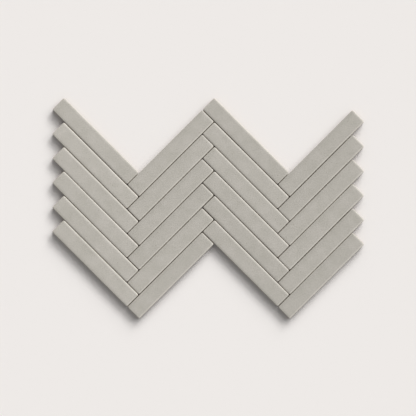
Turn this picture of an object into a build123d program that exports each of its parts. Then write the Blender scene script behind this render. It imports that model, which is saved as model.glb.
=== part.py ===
"""A sheet of herringbone mosaic: 24 pressed ceramic bars held edge to edge on a backing mesh.

The bars stand in four columns of six. Those of the first and third column fall to the right and
those of the second and fourth rise to the right, each at 45 degrees, and every bar's end meets the
long side of a bar in the next column. The sheet lies face up with the mesh underneath.

Frame: X runs along the zigzag, Y up the columns, Z out of the glazed face. The origin is the middle
of the sheet's outline, on the underside of the mesh. Sizes are in millimetres.
"""

from math import radians, sqrt, tan
import os

from build123d import *

# One bar.
bar_length = 145.0
bar_width = 23.0
bar_thickness = 8.0
corner_radius = 2.2  # of the four upright corners
cushion_width = 3.0  # how far in from its edge the glazed face starts to roll over
cushion_drop = 1.2  # how far the face has come down where it meets the side
side_draft = 2.0  # degrees that the sides lean in towards the back, to leave the die
back_chamfer = 0.4

# The keyed back: long shallow grooves that the adhesive grips.
groove_count = 3
groove_pitch = 6.4
groove_width = 3.0
groove_length = 131.0
groove_depth = 0.6
groove_draft = 30.0  # degrees

# The laying pattern.
columns = "abcd"
row_count = 6
joint = 0.7  # gap between neighbouring bars
tilt = 45.0  # degrees from the zigzag's direction to each bar
column_step = (bar_length + joint) / sqrt(2)
row_step = (bar_width + joint) * sqrt(2)
stagger = row_step / 4  # falling columns sit this far above the middle, rising ones below it
sheet_width = (len(columns) - 1) * column_step + (bar_length + bar_width) / sqrt(2)
sheet_height = (row_count - 1) * row_step + 2 * stagger + (bar_length + bar_width) / sqrt(2)

# The backing mesh: flat ribbons of glass thread, the warp up the columns and the weft across them.
# The steps of both divide the pattern's own, so that no ribbon runs along a corner of the zigzag.
mesh_thickness = 0.5
ribbon_thickness = 0.24  # the two layers of ribbons don't quite fill the mesh's thickness
warp_width = 0.8
warp_step = column_step / 21
warp_count = 82
weft_width = 1.0
weft_step = row_step / 7
weft_count = 60
mesh_inset = 4.0  # how far the mesh is cut back from the bars' edges along the zigzag
mesh_side_inset = 6.5  # how far it is cut back from the inner corners of the stepped sides
mesh_width = sheet_width - bar_width * sqrt(2) - 2 * mesh_side_inset


def bar_position(column, row):
    """Location of a bar's middle and its turn, with columns from the left and rows from the top."""
    falls = column % 2 == 0
    x = (column - (len(columns) - 1) / 2) * column_step
    y = ((row_count - 1) / 2 - row) * row_step + (stagger if falls else -stagger)
    return Location((x, y, 0), (0, 0, -tilt if falls else tilt))


def bar_section(span):
    """Outline of a bar cut across: a drafted side under a flat face that rolls over at both edges."""
    edge = span / 2
    shoulder = bar_thickness - cushion_drop
    back = edge - shoulder * tan(radians(side_draft))
    flat = edge - cushion_width
    with BuildSketch() as section:
        with BuildLine():
            Polyline((0, 0), (back - back_chamfer, 0), (back, back_chamfer), (edge, shoulder))
            TangentArc((flat, bar_thickness), (edge, shoulder), tangent=(1, 0))
            Line((flat, bar_thickness), (0, bar_thickness))
            mirror(about=Plane.YZ)
        make_face()
    return section.sketch


# The pressed bar, lying along X with its back on the XY plane. Its plan is cut to the same
# cushioned section lengthwise and crosswise, and the two meet in a mitre at the corners.
with BuildPart() as pressed_bar:
    with BuildSketch():
        RectangleRounded(bar_length, bar_width, corner_radius)
    extrude(amount=bar_thickness)
    with BuildSketch(Plane.XZ):
        add(bar_section(bar_length))
    extrude(amount=bar_width, both=True, mode=Mode.INTERSECT)
    with BuildSketch(Plane.YZ):
        add(bar_section(bar_width))
    extrude(amount=bar_length, both=True, mode=Mode.INTERSECT)
    with BuildSketch():
        with GridLocations(0, groove_pitch, 1, groove_count):
            Rectangle(groove_length, groove_width)
    extrude(amount=groove_depth, taper=groove_draft, mode=Mode.SUBTRACT)

# The ground that the mesh covers. It follows the zigzag of the bars and is cut off straight inside
# the stepped sides, so that nothing of the mesh shows from the front.
with BuildSketch() as mesh_outline:
    for column in range(len(columns)):
        for row in range(row_count):
            with Locations(bar_position(column, row)):
                Rectangle(bar_length + joint, bar_width + joint)
    offset(amount=-(mesh_inset + joint / 2), kind=Kind.INTERSECTION)
    Rectangle(mesh_width, sheet_height, mode=Mode.INTERSECT)

# The backing mesh. The warp lies underneath, and the weft on it is glued to the backs of the bars.
with BuildPart() as mesh_backing:
    with BuildSketch():
        with Locations((stagger, 0)):
            with GridLocations(warp_step, 0, warp_count, 1):
                Rectangle(warp_width, sheet_height)
        add(mesh_outline.sketch, mode=Mode.INTERSECT)
    extrude(amount=ribbon_thickness)
    with BuildSketch(Plane.XY.offset(mesh_thickness - ribbon_thickness)):
        with GridLocations(0, weft_step, 1, weft_count):
            Rectangle(mesh_width, weft_width)
        add(mesh_outline.sketch, mode=Mode.INTERSECT)
    extrude(amount=ribbon_thickness)

os.makedirs("parts", exist_ok=True)
for column, letter in enumerate(columns):
    for row in range(row_count):
        bar = Location((0, 0, mesh_thickness)) * bar_position(column, row) * pressed_bar.part
        bar.label = f"bar_{letter}{row + 1}"
        export_step(bar, f"parts/{bar.label}.step")
mesh_backing.part.label = "mesh_backing"
export_step(mesh_backing.part, "parts/mesh_backing.step")
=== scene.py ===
import math
import random

import bmesh
import bpy
from mathutils import Matrix, Vector, noise


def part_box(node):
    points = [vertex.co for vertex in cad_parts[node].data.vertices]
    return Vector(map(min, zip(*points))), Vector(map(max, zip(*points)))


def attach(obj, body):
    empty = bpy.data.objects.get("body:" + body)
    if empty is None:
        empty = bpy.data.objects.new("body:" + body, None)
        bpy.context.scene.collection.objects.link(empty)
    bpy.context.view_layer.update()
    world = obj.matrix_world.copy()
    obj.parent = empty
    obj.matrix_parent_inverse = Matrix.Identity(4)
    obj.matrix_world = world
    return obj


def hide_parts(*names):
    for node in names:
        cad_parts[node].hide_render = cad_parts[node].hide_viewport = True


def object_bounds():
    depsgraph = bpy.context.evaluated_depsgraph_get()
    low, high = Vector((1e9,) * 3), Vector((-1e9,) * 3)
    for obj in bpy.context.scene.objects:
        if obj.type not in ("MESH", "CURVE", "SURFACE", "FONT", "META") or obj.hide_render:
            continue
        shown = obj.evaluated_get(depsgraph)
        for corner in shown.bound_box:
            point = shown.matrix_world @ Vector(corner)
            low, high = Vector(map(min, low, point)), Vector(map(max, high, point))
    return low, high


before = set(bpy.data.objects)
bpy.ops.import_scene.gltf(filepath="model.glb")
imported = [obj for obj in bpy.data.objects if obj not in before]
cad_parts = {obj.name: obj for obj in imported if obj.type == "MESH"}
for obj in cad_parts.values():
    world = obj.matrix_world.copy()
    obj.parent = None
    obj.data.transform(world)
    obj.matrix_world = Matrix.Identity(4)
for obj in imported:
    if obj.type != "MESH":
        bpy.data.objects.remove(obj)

cad_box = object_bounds()

# The camera hangs straight above the sheet with a long lens, as for a product picture, so that the
# bars' sides hardly show.
lens_mm = 200
sensor_mm = 36
frame_width = 0.5694  # how much of the floor the picture takes in, at the height of the face
aim = (-0.0002, 0.0005)
face_height = cad_box[1][2]
camera_data = bpy.data.cameras.new("camera_above")
camera_data.lens = lens_mm
camera_data.sensor_width = sensor_mm
camera = bpy.data.objects.new("camera_above", camera_data)
camera.location = (*aim, face_height + frame_width * lens_mm / sensor_mm)
bpy.context.collection.objects.link(camera)
bpy.context.scene.camera = camera


# The pressed bars: dust-pressed ceramic with a flat face that rolls over at all four edges, fired
# under a matt warm-grey glaze. The glaze ends just below the arris, and the sides and the keyed
# back are bare. No two bars come out of the kiln quite alike.
bar_length = 0.145
bar_width = 0.023
bar_thickness = 0.008
corner_radius = 0.0022
corner_segments = 6
cushion_width = 0.0030  # how far in from its edge the face starts to come down
cushion_drop = 0.0005
arris_radius = 0.0007
side_draft = math.radians(2)
back_chamfer = 0.0004
groove_pitch = 0.0064
groove_width = 0.0030
groove_length = 0.131
groove_depth = 0.0006
groove_draft = math.radians(30)
corner_ring = 2.15  # in mm; on this ring each corner's arc becomes one point
shoulder_rings = (0.03, 0.1, 0.2, 0.35, 0.55, 0.8, 1.2, 1.7, corner_ring, 2.6, 3.0)  # in mm
bend_steps = 30
lengthwise_step = 0.004  # from one lengthwise cut to the next
touching = 1e-6  # points nearer to each other than this count as one


def face_level(inset):
    """How high the glazed face stands, this far in from the bar's edge."""
    rolled = max(0, 1 - inset / cushion_width)
    turned = max(0, 1 - inset / arris_radius)
    return bar_thickness - cushion_drop * rolled**2 - arris_radius * (1 - math.sqrt(1 - turned**2))


def upright_edges(bm, height):
    """Edges that pass through this height."""
    return [e for e in bm.edges if min(v.co.z for v in e.verts) < height < max(v.co.z for v in e.verts)]


def cut_across(bm, place, normal):
    """Cuts the whole mesh by a plane, so that it can bend there."""
    bmesh.ops.bisect_plane(
        bm, geom=bm.verts[:] + bm.edges[:] + bm.faces[:], dist=touching, plane_co=place, plane_no=normal
    )


def press_bar():
    """The bar as it leaves the die, lying along X with its back on the ground plane."""
    bm = bmesh.new()
    wall_top = face_level(0)
    bmesh.ops.create_cube(bm, size=1)
    bmesh.ops.translate(bm, vec=(0, 0, 0.5), verts=bm.verts)
    bmesh.ops.scale(bm, vec=(bar_length, bar_width, wall_top), verts=bm.verts)
    bmesh.ops.bevel(
        bm, geom=upright_edges(bm, wall_top / 2), offset=corner_radius, offset_type="OFFSET",
        affect="EDGES", segments=corner_segments, profile=0.5, material=-1,
    )
    top = max(bm.faces, key=lambda f: f.calc_center_median().z)
    back = min(bm.faces, key=lambda f: f.calc_center_median().z)

    # The face, ring by ring from the arris inwards. Once the corners' arcs have shrunk to almost
    # nothing, each becomes one point, and from there the shoulders meet in a mitre.
    inset = 0
    for ring_mm in shoulder_rings:
        ring = ring_mm / 1000
        bmesh.ops.inset_region(
            bm, faces=[top], thickness=ring - inset, depth=face_level(ring) - face_level(inset),
            use_even_offset=True, use_boundary=True,
        )
        inset = ring
        if ring_mm == corner_ring:
            for side_x in (-1, 1):
                for side_y in (-1, 1):
                    arc = [v for v in top.verts if v.co.x * side_x > 0 and v.co.y * side_y > 0]
                    middle = sum((v.co for v in arc), Vector()) / len(arc)
                    bmesh.ops.pointmerge(bm, verts=arc, merge_co=middle)

    # The sides lean in to the back, and the back's edge is chamfered.
    lean = 1 - 2 * wall_top * math.tan(side_draft) / bar_width
    lean_long = 1 - 2 * wall_top * math.tan(side_draft) / bar_length
    bmesh.ops.scale(bm, vec=(lean_long, lean, 1), verts=back.verts)
    bmesh.ops.inset_region(
        bm, faces=[back], thickness=back_chamfer, depth=0, use_even_offset=True, use_boundary=True
    )
    outer = [v for v in bm.verts if v.co.z < touching and v not in back.verts]
    bmesh.ops.translate(bm, vec=(0, 0, back_chamfer), verts=outer)

    # Cuts across the bar give it places to bend.
    for step in range(1, bend_steps):
        cut_across(bm, (bar_length * (step / bend_steps - 0.5), 0, 0), (1, 0, 0))
    for step in (-1, 0, 1):
        cut_across(bm, (0, step * lengthwise_step, 0), (0, 1, 0))

    # The key grooves in the back.
    for line in (-1, 0, 1):
        for edge in (-1, 1):
            cut_across(bm, (0, line * groove_pitch + edge * groove_width / 2, 0), (0, 1, 0))
    for edge in (-1, 1):
        cut_across(bm, (edge * groove_length / 2, 0, 0), (1, 0, 0))
    for line in (-1, 0, 1):
        floor_faces = []
        for f in bm.faces:
            middle = f.calc_center_median()
            in_width = abs(middle.y - line * groove_pitch) < groove_width / 2
            in_length = abs(middle.x) < groove_length / 2
            if in_width and in_length and middle.z < touching:
                floor_faces.append(f)
        bmesh.ops.inset_region(
            bm, faces=floor_faces, thickness=groove_depth * math.tan(groove_draft),
            depth=-groove_depth, use_even_offset=True, use_boundary=True,
        )
    bmesh.ops.recalc_face_normals(bm, faces=bm.faces)
    return bm


# Painted light on the arrises: how far in from an arris the painted highlight reaches, how quickly it
# gets as bright as it can be there, how far in the painted shade reaches at the other side, and how low
# on the bar any of it lies.
highlight_reach = 0.0026
highlight_rise = 1.7
painted_shade_reach = 0.0050
lowest_arris_painting = 0.0053


def arris_light_painting(point, side_highlight, end_highlight, side_painted_shade, end_painted_shade):
    """How much lighter the colour is painted here: a painted highlight over one long arris and one end,
    which face the light, and painted shade at the opposite arrises, which face away from it."""
    if point.z < lowest_arris_painting:
        return 0
    at_side = max(0, 1 - (bar_width / 2 - point.y) / highlight_reach)
    at_end = max(0, 1 - (bar_length / 2 - point.x) / highlight_reach)
    highlighted = max(side_highlight * min(1, highlight_rise * at_side), end_highlight * min(1, highlight_rise * at_end))
    at_far_side = max(0, 1 - (bar_width / 2 + point.y) / painted_shade_reach)
    at_far_end = max(0, 1 - (bar_length / 2 + point.x) / painted_shade_reach)
    return highlighted - max(side_painted_shade * at_far_side, end_painted_shade * at_far_end)


glaze = bpy.data.materials.new("matt_glaze_on_brown_body")

# What differs from bar to bar. The kiln bends the long form softly and ripples the face, and takes a
# little off the length and the width. Laying turns and shifts the bar on the mesh.
bend_grain = 30
bend_depth = 0.00008
ripple_grain = 110
ripple_depth = 0.00002
most_shrunk = (0.0008, 0.002)
most_turned = 0.04  # degrees
most_slipped = (0.00015, 0.0002)
noise_stride = (7.3, 3.1, 1.7)  # from one bar's place in the noise to the next one's
foot = 0.001  # below this height the bar stays flat
sharp_edge = math.radians(38)  # edges that turn more than this stay crisp


def fire_bar(pressed, name, centre, angle, seed, drift, lost, place_tone, arris_painting):
    """One fired bar: slightly small, slightly bent, with its own shade and painted light on its arrises,
    laid by hand on the mesh, in a frame that the outer bars stand against."""
    luck = random.Random(seed)
    bm = pressed.copy()
    shade = bm.verts.layers.float.new("shade")
    painted_arris_light = bm.verts.layers.float.new("painted_arris_light")
    tone = place_tone + luck.uniform(-1, 1)
    elsewhere = Vector([seed * stride for stride in noise_stride])
    for v in bm.verts:
        v[shade] = tone
        # Painted highlight and painted shade at the arrises.
        v[painted_arris_light] = arris_light_painting(v.co, *arris_painting)
        bend = noise.noise_vector(v.co * bend_grain + elsewhere) * bend_depth
        ripple = noise.noise_vector(v.co * ripple_grain + elsewhere) * ripple_depth
        move = bend + ripple
        move.z = -abs(move.z) if v.co.z > foot else 0
        v.co += move
    shrunk = [1 - lost[axis] - luck.uniform(0, most_shrunk[axis]) for axis in (0, 1)]
    bmesh.ops.scale(bm, vec=(*shrunk, 1), verts=bm.verts)
    turn = angle + math.radians(luck.uniform(-most_turned, most_turned))
    slip = Vector([luck.uniform(-most_slipped[axis], most_slipped[axis]) for axis in (0, 1)] + [0])
    bmesh.ops.translate(bm, vec=slip + drift, verts=bm.verts)
    bmesh.ops.rotate(bm, cent=(0, 0, 0), matrix=Matrix.Rotation(turn, 3, "Z"), verts=bm.verts)
    bmesh.ops.translate(bm, vec=centre, verts=bm.verts)
    for axis in (0, 1):
        low = min(v.co[axis] for v in bm.verts)
        high = max(v.co[axis] for v in bm.verts)
        push = Vector((0, 0, 0))
        push[axis] = max(0, cad_box[0][axis] - low) - max(0, high - cad_box[1][axis])
        bmesh.ops.translate(bm, vec=push, verts=bm.verts)
    for f in bm.faces:
        f.smooth = True
    for e in bm.edges:
        e.smooth = e.calc_face_angle(0) < sharp_edge
    mesh = bpy.data.meshes.new(name)
    bm.to_mesh(mesh)
    bm.free()
    mesh.materials.append(glaze)
    bar = bpy.data.objects.new(name, mesh)
    bpy.context.collection.objects.link(bar)
    return bar


# The columns were laid from four batches, which differ a little in place and size. The bars grow darker
# from the left column to the right and from the top row down. A drift or a loss is given along the bar
# first and then across it, and a loss below nothing is a wider bar.
columns = "abcd"
column_drift = ((0, -0.00015), (-0.0001, 0.0002), (0.0002, 0.0002), (0.0001, 0.0003))
column_size_lost = ((0, -0.010), (0, 0.001), (0, -0.006), (0.002, 0.001))
column_tone = (1.5, 0.1, -1.0, -1.1)
falling_angle = math.radians(-45)
rising_angle = math.radians(-135)  # so that the side with the painted highlight faces the lower right
rows = 6
middle_row = (rows + 1) / 2
row_tone = -0.25  # each row is this much darker than the one above it

# Painted light on the arrises: painted highlight at the side and at the end, then painted shade at the
# other side and at the other end.
falling_arris_painting = (0.11, 0.25, 0.06, 0.06)
rising_arris_painting = (0.40, 0.05, 0.14, 0)
# This bar has its painted highlight only at its end, none along its side.
highlighted_at_its_end_only = ["bar_a1"]
nudged_across = {"bar_a1": 0.0006, "bar_b1": -0.0001, "bar_b6": -0.00025, "bar_c1": -0.00015}
pressed = press_bar()
for column, letter in enumerate(columns):
    for row in range(1, rows + 1):
        node = f"bar_{letter}{row}"
        low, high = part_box(node)
        centre = Vector(((low[0] + high[0]) / 2, (low[1] + high[1]) / 2, low[2]))
        falls = column % 2 == 0
        arris_painting = falling_arris_painting if falls else rising_arris_painting
        if node in highlighted_at_its_end_only:
            arris_painting = (0, *falling_arris_painting[1:])
        bar = fire_bar(
            pressed, f"glazed_{node}", centre, falling_angle if falls else rising_angle,
            seed=10 * column + row,
            drift=Vector((*column_drift[column], 0)) + Vector((0, nudged_across.get(node, 0), 0)),
            lost=column_size_lost[column],
            place_tone=column_tone[column] + row_tone * (row - middle_row), arris_painting=arris_painting,
        )
        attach(bar, "root")
        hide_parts(node)
pressed.free()


def node_tree(material):
    """The material's node tree, emptied down to an output, and the Principled shader that feeds it."""
    material.use_nodes = True
    tree = material.node_tree
    tree.nodes.clear()
    shader = tree.nodes.new("ShaderNodeBsdfPrincipled")
    output = tree.nodes.new("ShaderNodeOutputMaterial")
    tree.links.new(shader.outputs["BSDF"], output.inputs["Surface"])
    return tree, shader


def add_node(tree, kind, links=(), values=(), **settings):
    """A node of this kind, with its settings, its unlinked values and the sockets that feed it."""
    node = tree.nodes.new(kind)
    for name, value in settings.items():
        setattr(node, name, value)
    for socket, value in dict(values).items():
        node.inputs[socket].default_value = value
    for socket, source in dict(links).items():
        tree.links.new(source, node.inputs[socket])
    return node


def srgb(red, green, blue):
    """A colour given as 0 to 255 on screen, as Blender's linear values."""
    def linear(c):
        c /= 255
        return c / 12.92 if c <= 0.04045 else ((c + 0.055) / 1.055) ** 2.4

    return (linear(red), linear(green), linear(blue), 1)


tree, shader = node_tree(glaze)
place = add_node(tree, "ShaderNodeTexCoord").outputs["Object"]
tone = add_node(tree, "ShaderNodeAttribute", attribute_name="shade").outputs["Fac"]
# The painted highlight and painted shade at each bar's arrises.
painted_arris_light = add_node(tree, "ShaderNodeAttribute", attribute_name="painted_arris_light").outputs["Fac"]
pattern_step = 5.0  # moves bars of different shade far apart in the noise
own_pattern = add_node(tree, "ShaderNodeMath", {0: tone}, {1: pattern_step}, operation="MULTIPLY")

# Colour of the glaze: a soft mottle, a shade of its own on each bar, and a painted highlight and painted
# shade at the arrises.
shade_per_tone = 0.020
mottle = add_node(
    tree, "ShaderNodeTexNoise", {"Vector": place, "W": own_pattern.outputs[0]},
    {"Scale": 70, "Detail": 5, "Roughness": 0.6}, noise_dimensions="4D",
)
glaze_colour = add_node(
    tree, "ShaderNodeMix", {"Factor": mottle.outputs["Fac"]},
    {"A": srgb(162, 159, 149), "B": srgb(190, 185, 178)}, data_type="RGBA",
)
shade_step = add_node(
    tree, "ShaderNodeMath", {0: tone}, {1: shade_per_tone, 2: 1.0}, operation="MULTIPLY_ADD"
)
shade_and_arris_light = add_node(tree, "ShaderNodeMath", {0: painted_arris_light, 1: shade_step.outputs[0]}, operation="ADD")

# Fine crystals part in the melt as it cools and make the matt glaze look like close-grained stone.
crystal_contrast = 0.13
crystals = add_node(tree, "ShaderNodeTexNoise", {"Vector": place}, {"Scale": 700, "Detail": 2})
crystal_step = add_node(
    tree, "ShaderNodeMapRange", {"Value": crystals.outputs["Fac"]},
    {"From Min": 0.25, "From Max": 0.75, "To Min": -crystal_contrast, "To Max": crystal_contrast},
)
brightness = add_node(
    tree, "ShaderNodeMath", {0: shade_and_arris_light.outputs[0], 1: crystal_step.outputs[0]}, operation="ADD"
)
lit_glaze = add_node(
    tree, "ShaderNodeVectorMath", {0: glaze_colour.outputs["Result"], "Scale": brightness.outputs[0]},
    operation="SCALE",
)

# Fine specks of iron and a few pinholes, where gas left the melt. Each is in a cell of its own, and
# only some cells have a speck. Their sizes are parts of a cell.
speckless_cells = 0.72
largest_speck = 0.20
pinhole_floor = 0.018
pinhole_rim = 0.034
speck_cells = add_node(tree, "ShaderNodeTexVoronoi", {"Vector": place}, {"Scale": 420})
speck_luck = add_node(tree, "ShaderNodeSeparateColor", {"Color": speck_cells.outputs["Color"]})
speck_size = add_node(
    tree, "ShaderNodeMapRange", {"Value": speck_luck.outputs["Red"]},
    {"From Min": speckless_cells, "From Max": 1.0, "To Min": 0.0, "To Max": largest_speck},
)
speck = add_node(
    tree, "ShaderNodeMath", {0: speck_cells.outputs["Distance"], 1: speck_size.outputs[0]},
    operation="LESS_THAN",
)
speckled_glaze = add_node(
    tree, "ShaderNodeMix", {"Factor": speck.outputs[0], "A": lit_glaze.outputs["Vector"]},
    {"B": srgb(140, 132, 120)}, data_type="RGBA",
)
pinhole_cells = add_node(tree, "ShaderNodeTexVoronoi", {"Vector": place}, {"Scale": 130})
pinhole = add_node(
    tree, "ShaderNodeMapRange", {"Value": pinhole_cells.outputs["Distance"]},
    {"From Min": pinhole_floor, "From Max": pinhole_rim, "To Min": 1.0, "To Max": 0.0},
)
pitted_glaze = add_node(
    tree, "ShaderNodeMix", {"Factor": pinhole.outputs[0], "A": speckled_glaze.outputs["Result"]},
    {"B": srgb(96, 86, 76)}, data_type="RGBA",
)

# The glaze breaks warm over the arris, where it is thin enough for the body to show through. Heights
# here are over the ground, with the mesh below the bars.
break_top = 0.0079
break_foot = 0.0075
break_strength = 0.9
height = add_node(tree, "ShaderNodeSeparateXYZ", {0: place}).outputs["Z"]
break_share = add_node(
    tree, "ShaderNodeMapRange", {"Value": height},
    {"From Min": break_top, "From Max": break_foot, "To Min": 0.0, "To Max": break_strength},
)
broken_glaze = add_node(
    tree, "ShaderNodeMix", {"Factor": break_share.outputs[0], "A": pitted_glaze.outputs["Result"]},
    {"B": srgb(164, 142, 115)}, data_type="RGBA",
)

# The bare body shows on the sides and on the back, up to where the glaze has run unevenly to its end.
glaze_line = 0.0073
glaze_run = 0.0008
glaze_fade = 0.0002
run = add_node(tree, "ShaderNodeTexNoise", {"Vector": place}, {"Scale": 90, "Detail": 2})
run_height = add_node(
    tree, "ShaderNodeMath", {0: run.outputs["Fac"], 2: height}, {1: glaze_run}, operation="MULTIPLY_ADD"
)
glazed = add_node(
    tree, "ShaderNodeMapRange", {"Value": run_height.outputs[0]},
    {"From Min": glaze_line, "From Max": glaze_line + glaze_fade},
)
grog = add_node(
    tree, "ShaderNodeTexNoise", {"Vector": place}, {"Scale": 1400, "Detail": 6, "Roughness": 0.7}
)
body_colour = add_node(
    tree, "ShaderNodeMix", {"Factor": grog.outputs["Fac"]},
    {"A": srgb(86, 75, 66), "B": srgb(122, 109, 97)}, data_type="RGBA",
)
colour = add_node(
    tree, "ShaderNodeMix",
    {
        "Factor": glazed.outputs[0], "A": body_colour.outputs["Result"],
        "B": broken_glaze.outputs["Result"],
    },
    data_type="RGBA",
)
tree.links.new(colour.outputs["Result"], shader.inputs["Base Color"])

# The melt sets with a skin like orange peel, satin on the crests and duller in the hollows, and the
# body is dry and gritty.
dull_roughness = 0.50
satin_roughness = 0.38
dry_roughness = 0.88
pinhole_sink = -1.6  # in crests of the skin
skin_depth = 0.00006
peel = add_node(
    tree, "ShaderNodeTexNoise", {"Vector": place, "W": own_pattern.outputs[0]},
    {"Scale": 650, "Detail": 2, "Roughness": 0.45}, noise_dimensions="4D",
)
satin = add_node(
    tree, "ShaderNodeMapRange", {"Value": peel.outputs["Fac"]},
    {"From Min": 0.3, "From Max": 0.7, "To Min": dull_roughness, "To Max": satin_roughness},
)
dullness = add_node(
    tree, "ShaderNodeMix", {"Factor": glazed.outputs[0], "B": satin.outputs[0]}, {"A": dry_roughness},
    data_type="FLOAT",
)
tree.links.new(dullness.outputs["Result"], shader.inputs["Roughness"])
pitted_skin = add_node(
    tree, "ShaderNodeMath", {0: pinhole.outputs[0], 2: peel.outputs["Fac"]}, {1: pinhole_sink},
    operation="MULTIPLY_ADD",
)
surface = add_node(
    tree, "ShaderNodeMix",
    {"Factor": glazed.outputs[0], "A": grog.outputs["Fac"], "B": pitted_skin.outputs[0]},
    data_type="FLOAT",
)
relief = add_node(
    tree, "ShaderNodeBump", {"Height": surface.outputs["Result"]},
    {"Strength": 0.5, "Distance": skin_depth},
)
tree.links.new(relief.outputs[0], shader.inputs["Normal"])

# The backing: an open net of glass yarn, leno-woven, dipped in a milky binder and glued across the
# backs of the bars, so that the sheet can be lifted in one piece. Flat bundles run across it. Up the
# columns run pairs of finer yarn, which half twist round each other between one bundle and the next.
net_middle = 0.00025
bundle_width = 0.00105
bundle_thickness = 0.00022
bundle_grip = 0.14  # how much narrower a bundle is where a pair grips it
yarn_thickness = 0.00023
pair_spread = 0.00024  # how far each yarn of a pair lies to its side, in front of and behind a bundle
pair_lift = 0.000125  # how far a yarn rises or dips to pass a bundle
net_wander = 0.00016
wander_grain = 14
bundle_sides = 6
steps_in_bundle_cell = 2
yarn_sides = 5
steps_in_yarn_cell = 4
filaments_along_x = (500, 7000, 7000)
filaments_along_y = (7000, 500, 7000)


def ribbon_boxes(node):
    """Lowest and highest corner of every separate ribbon in a CAD node's mesh, in order."""
    bm = bmesh.new()
    bm.from_mesh(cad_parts[node].data)
    bmesh.ops.remove_doubles(bm, verts=bm.verts, dist=touching)
    boxes = []
    waiting = set(bm.verts)
    while waiting:
        reached = [waiting.pop()]
        for v in reached:
            neighbours = [e.other_vert(v) for e in v.link_edges]
            fresh = [n for n in neighbours if n in waiting]
            waiting.difference_update(fresh)
            reached.extend(fresh)
        low = tuple(min(v.co[i] for v in reached) for i in range(3))
        high = tuple(max(v.co[i] for v in reached) for i in range(3))
        boxes.append((low, high))
    bm.free()
    return sorted(boxes)


def straight_yarn(length, steps, sides):
    """A round yarn along Y of radius 1, closed at both ends and divided into equal steps."""
    bm = bmesh.new()
    bmesh.ops.create_cone(bm, cap_ends=True, segments=sides, radius1=1, radius2=1, depth=length)
    along = [e for e in bm.edges if abs(e.verts[0].co.z - e.verts[1].co.z) > length / 2]
    bmesh.ops.subdivide_edges(bm, edges=along, cuts=steps - 1, use_grid_fill=True)
    turn_to_y = Matrix.Rotation(math.radians(90), 3, "X")
    bmesh.ops.rotate(bm, cent=(0, 0, 0), matrix=turn_to_y, verts=bm.verts)
    return bm


def cut_to_length(yarn, start, end):
    """A copy of a yarn that lies along Y, cut off at both ends."""
    bm = yarn.copy()
    for cut, side in ((start, -1), (end, 1)):
        bmesh.ops.bisect_plane(
            bm, geom=bm.verts[:] + bm.edges[:] + bm.faces[:], dist=touching, plane_co=(0, cut, 0),
            plane_no=(0, side, 0), clear_outer=True,
        )
    bmesh.ops.holes_fill(bm, edges=[e for e in bm.edges if e.is_boundary], sides=0)
    return bm


def add_to_net(net, piece):
    """Puts a piece of yarn into the net and frees it."""
    mesh = bpy.data.meshes.new("yarn")
    piece.to_mesh(mesh)
    piece.free()
    net.from_mesh(mesh)
    bpy.data.meshes.remove(mesh)


def finish_net(net, name, finish):
    """Lets the net wander a little, as a loose weave does, and hangs it in the frame."""
    for v in net.verts:
        sway = noise.noise_vector(Vector((v.co.x * wander_grain, v.co.y * wander_grain, 0)))
        v.co += Vector((sway.x, sway.y, 0)) * net_wander
    bmesh.ops.recalc_face_normals(net, faces=net.faces)
    for f in net.faces:
        f.smooth = len(f.verts) == 4
    mesh = bpy.data.meshes.new(name)
    net.to_mesh(mesh)
    net.free()
    mesh.materials.append(finish)
    piece = bpy.data.objects.new(name, mesh)
    bpy.context.collection.objects.link(piece)
    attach(piece, "root")
    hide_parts("mesh_backing")


def yarn_finish(name, stretch):
    """Glass filaments under a milky film of binder, with their run along the axis stretched least."""
    material = bpy.data.materials.new(name)
    tree, shader = node_tree(material)
    place = add_node(tree, "ShaderNodeTexCoord").outputs["Object"]
    drawn = add_node(tree, "ShaderNodeMapping", {"Vector": place}, {"Scale": stretch})
    filaments = add_node(
        tree, "ShaderNodeTexNoise", {"Vector": drawn.outputs[0]},
        {"Scale": 1, "Detail": 3, "Roughness": 0.6},
    )
    film = add_node(tree, "ShaderNodeTexNoise", {"Vector": place}, {"Scale": 160, "Detail": 4})
    glass = add_node(
        tree, "ShaderNodeMix", {"Factor": filaments.outputs["Fac"]},
        {"A": srgb(196, 192, 178), "B": srgb(226, 224, 214)}, data_type="RGBA",
    )
    dipped = add_node(
        tree, "ShaderNodeMix", {"Factor": film.outputs["Fac"], "A": glass.outputs["Result"]},
        {"B": srgb(216, 212, 198)}, data_type="RGBA",
    )
    gloss = add_node(
        tree, "ShaderNodeMapRange", {"Value": film.outputs["Fac"]},
        {"From Min": 0.3, "From Max": 0.7, "To Min": 0.28, "To Max": 0.6},
    )
    relief = add_node(
        tree, "ShaderNodeBump", {"Height": filaments.outputs["Fac"]},
        {"Strength": 0.6, "Distance": 0.00004},
    )
    tree.links.new(dipped.outputs["Result"], shader.inputs["Base Color"])
    tree.links.new(gloss.outputs[0], shader.inputs["Roughness"])
    tree.links.new(relief.outputs[0], shader.inputs["Normal"])
    return material


ribbons = ribbon_boxes("mesh_backing")
bundles = [box for box in ribbons if box[0][2] > net_middle]
pairs = [box for box in ribbons if box[0][2] < net_middle]
bundle_levels = sorted({round((low[1] + high[1]) / 2, 5) for low, high in bundles})
pair_places = sorted({round((low[0] + high[0]) / 2, 5) for low, high in pairs})
cell_height = (bundle_levels[-1] - bundle_levels[0]) / (len(bundle_levels) - 1)
cell_width = (pair_places[-1] - pair_places[0]) / (len(pair_places) - 1)

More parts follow.
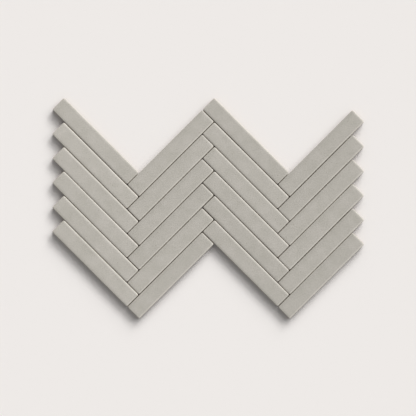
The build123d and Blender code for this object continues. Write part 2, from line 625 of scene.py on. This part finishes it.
# The flat bundles. Each is drawn in where the pairs grip it. The one they are cut from is 80 cells long.
cells = 80
bundle = straight_yarn(cells * cell_width, cells * steps_in_bundle_cell, bundle_sides)
for v in bundle.verts:
    gripped = 0.5 + 0.5 * math.cos(2 * math.pi * v.co.y / cell_width)
    v.co.x *= bundle_width / 2 * (1 - bundle_grip * gripped)
    v.co.z *= bundle_thickness / 2
net = bmesh.new()
turn_to_x = Matrix.Rotation(math.radians(-90), 3, "Z")
first_pair = pair_places[0] % cell_width
for low, high in bundles:
    piece = cut_to_length(bundle, low[0] - first_pair, high[0] - first_pair)
    bmesh.ops.rotate(piece, cent=(0, 0, 0), matrix=turn_to_x, verts=piece.verts)
    bmesh.ops.translate(piece, vec=(first_pair, (low[1] + high[1]) / 2, net_middle), verts=piece.verts)
    add_to_net(net, piece)
bundle.free()
finish_net(net, "net_bundles", yarn_finish("dipped_glass_bundle", filaments_along_x))

# The twisted pairs. The binding yarn lies over every bundle and the ground yarn under it, and in
# between they change sides.
cells = 60
first_bundle = bundle_levels[0] % cell_height
for name, side in (("net_binding_yarns", 1), ("net_ground_yarns", -1)):
    yarn = straight_yarn(cells * cell_height, cells * steps_in_yarn_cell, yarn_sides)
    for v in yarn.verts:
        passed = v.co.y / cell_height
        v.co.x = v.co.x * yarn_thickness / 2 + side * pair_spread * math.cos(math.pi * passed)
        v.co.z = v.co.z * yarn_thickness / 2 + side * pair_lift * math.cos(2 * math.pi * passed)
    net = bmesh.new()
    for low, high in pairs:
        piece = cut_to_length(yarn, low[1] - first_bundle, high[1] - first_bundle)
        bmesh.ops.translate(
            piece, vec=((low[0] + high[0]) / 2, first_bundle, net_middle), verts=piece.verts
        )
        add_to_net(net, piece)
    yarn.free()
    finish_net(net, name, yarn_finish(f"dipped_glass_{name}", filaments_along_y))


# The studio: a wide roll of pale paper under a large soft light from the upper right, built up from
# parts at different heights, with a little light from the whole room.
paper_reach = 4
paper_colour = srgb(238, 234, 231)
paper = bpy.data.materials.new("studio_paper")
tree, shader = node_tree(paper)
shader.inputs["Base Color"].default_value = paper_colour
shader.inputs["Roughness"].default_value = 0.9
shader.inputs["Specular IOR Level"].default_value = 0
bm = bmesh.new()
bmesh.ops.create_grid(bm, x_segments=1, y_segments=1, size=paper_reach)
mesh = bpy.data.meshes.new("studio_floor")
bm.to_mesh(mesh)
bm.free()
mesh.materials.append(paper)
floor = bpy.data.objects.new("studio_floor", mesh)
bpy.context.collection.objects.link(floor)


def add_sun(name, azimuth, elevation, spread, share):
    """A broad far light that gives this share of what a flat surface receives. Angles in degrees."""
    light = bpy.data.lights.new(name, "SUN")
    light.angle = math.radians(spread)
    light.energy = share * math.pi / math.sin(math.radians(elevation))
    sun = bpy.data.objects.new(name, light)
    tilt = Matrix.Rotation(math.radians(90 - elevation), 4, "Y")
    sun.matrix_world = Matrix.Rotation(math.radians(azimuth), 4, "Z") @ tilt
    bpy.context.collection.objects.link(sun)


# The room's share and those of the softboxes add up to 1, so that open paper shows its own colour.
ambient = 0.28
add_sun("softbox_low_middle", 60, 18, 16, 0.09)
add_sun("softbox_low_left", 75, 18, 16, 0.035)
add_sun("softbox_right_end", 30, 27, 18, 0.115)
add_sun("softbox_middle", 55, 27, 18, 0.18)
add_sun("softbox_left", 80, 27, 18, 0.085)
add_sun("softbox_left_end", 110, 30, 24, 0.02)
add_sun("softbox_upper_right", 50, 38, 20, 0.045)
add_sun("softbox_upper_left", 80, 38, 20, 0.065)
add_sun("softbox_top", 60, 52, 24, 0.085)
world = bpy.data.worlds.new("studio")
bpy.context.scene.world = world
world.use_nodes = True
tree = world.node_tree

# The room gives its white light all round. The camera, gloss and glass see paper there instead.
room = tree.nodes["Background"]
room.inputs["Color"].default_value = (1, 1, 1, 1)
room.inputs["Strength"].default_value = ambient
seen = add_node(tree, "ShaderNodeBackground", values={"Color": paper_colour, "Strength": 1})
ray = add_node(tree, "ShaderNodeLightPath")
seen_in_gloss = add_node(
    tree, "ShaderNodeMath", {0: ray.outputs["Is Glossy Ray"], 1: ray.outputs["Is Transmission Ray"]},
    operation="MAXIMUM",
)
looked_at = add_node(
    tree, "ShaderNodeMath", {0: ray.outputs["Is Camera Ray"], 1: seen_in_gloss.outputs[0]},
    operation="MAXIMUM",
)
backdrop = add_node(
    tree, "ShaderNodeMixShader",
    {0: looked_at.outputs[0], 1: room.outputs[0], 2: seen.outputs[0]},
)
tree.links.new(backdrop.outputs[0], tree.nodes["World Output"].inputs["Surface"])

bpy.context.scene.view_settings.view_transform = "Standard"
